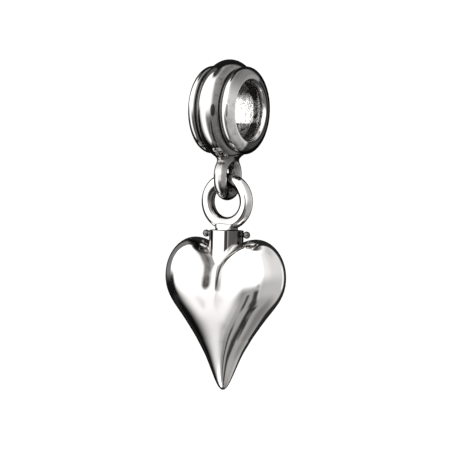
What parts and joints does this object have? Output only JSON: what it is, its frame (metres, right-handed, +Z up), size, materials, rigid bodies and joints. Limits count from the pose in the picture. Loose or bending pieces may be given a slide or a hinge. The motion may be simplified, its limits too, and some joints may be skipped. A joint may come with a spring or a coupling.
{
  "type": "heart charm",
  "caption": "Puffed silver heart that hangs by a ring from the loop of a large-hole bead, with a short tube and a cross pin in the cleft.",
  "frame": {"origin": "centre of the bead's bore", "axes": "+X along the bore, the front of the heart faces -Y, +Z up with the heart hanging straight down"},
  "size_m": [0.0102, 0.0078, 0.0255],
  "materials": {
    "polished_silver": "mirror polished"
  },
  "bodies": {
    "bead": {"bail_bead": "polished_silver"},
    "drop": {"hanging_ring": "polished_silver", "cross_pin": "polished_silver", "heart": "polished_silver"}
  },
  "joints": [
    {"name": "drop_swing", "type": "hinge", "parent": "bead", "child": "drop", "pos_m": [0, 0, -0.00646], "axis": [0, 1, 0], "range_deg": [-75, 75]}
  ]
}
